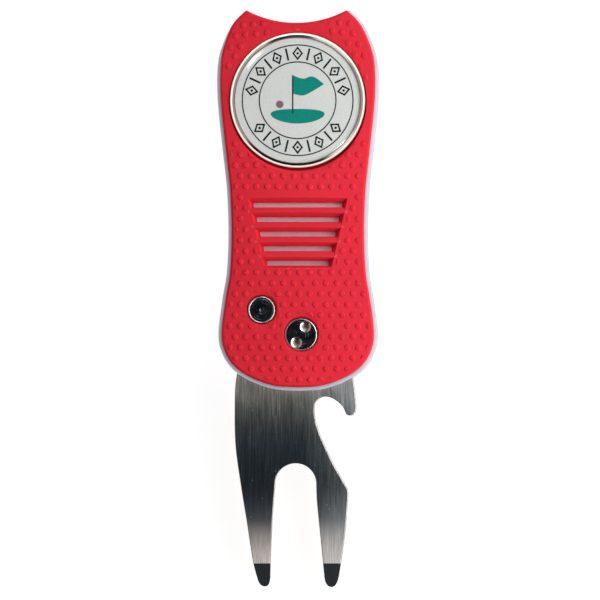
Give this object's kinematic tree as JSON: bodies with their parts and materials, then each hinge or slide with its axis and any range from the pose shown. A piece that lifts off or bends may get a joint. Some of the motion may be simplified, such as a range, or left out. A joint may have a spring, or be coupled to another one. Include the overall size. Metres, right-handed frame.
{
  "type": "divot repair tool",
  "caption": "Folding golf divot repair tool: flat rubber-gripped handle, steel fork with bottle-opener hook on a sprung pivot, push-button lock and lift-off magnetic ball marker.",
  "frame": {"origin": "middle of the tool's footprint on the surface it lies on, with the fork open; the pivot axis is at x 0.6 mm, y -6.75 mm", "axes": "+Y along the handle from the fork to the ball marker, +Z out of the front face with the marker, +X to the right seen from the front, the side the fork folds through"},
  "size_m": [0.03, 0.1071, 0.0121],
  "materials": {
    "grip_rubber": "soft-touch moulded rubber, satin, with raised dimples",
    "shell_plastic": "moulded white plastic, semi-gloss",
    "fork_steel": "brushed lengthwise",
    "polished_steel": "turned and polished, dark reflections",
    "nylon": "natural nylon",
    "spring_steel": "drawn wire",
    "magnet_nickel": "nickel plate",
    "marker_nickel": "polished nickel plate",
    "marker_print": "printed disc under resin",
    "marker_resin": "clear domed resin, glossy",
    "screw_steel": "zinc-plated screw"
  },
  "bodies": {
    "handle": {"rear_grip": "grip_rubber", "rear_shell": "shell_plastic", "front_shell": "shell_plastic", "front_grip": "grip_rubber", "pivot_barrel": "polished_steel", "pivot_screw": "polished_steel", "rear_washer": "nylon", "front_washer": "nylon", "spring_spacer": "nylon", "torsion_spring": "spring_steel", "button_spring": "spring_steel", "marker_magnet": "magnet_nickel", "shell_screw_1": "screw_steel", "shell_screw_2": "screw_steel", "shell_screw_3": "screw_steel"},
    "fork": {"fork": "fork_steel"},
    "button": {"release_button": "polished_steel"},
    "marker": {"marker_base": "marker_nickel", "marker_print": "marker_print", "marker_dome": "marker_resin"}
  },
  "joints": [
    {"name": "fork_swing", "type": "hinge", "parent": "handle", "child": "fork", "pos_m": [0.0006, -0.00675, 0.00575], "axis": [0, 0, 1], "range_deg": [0, 180], "stiffness_Nm_per_rad": 0.012, "springref_deg": -28.65, "deforming": ["torsion_spring"]},
    {"name": "button_press", "type": "slide", "parent": "handle", "child": "button", "axis": [0, 0, -1], "range_m": [0, 0.00225], "stiffness_N_per_m": 600, "springref_m": -0.0015, "deforming": ["button_spring"]},
    {"name": "marker_lift", "type": "slide", "parent": "handle", "child": "marker", "axis": [0, 0, 1], "range_m": [0, 0.015]}
  ]
}
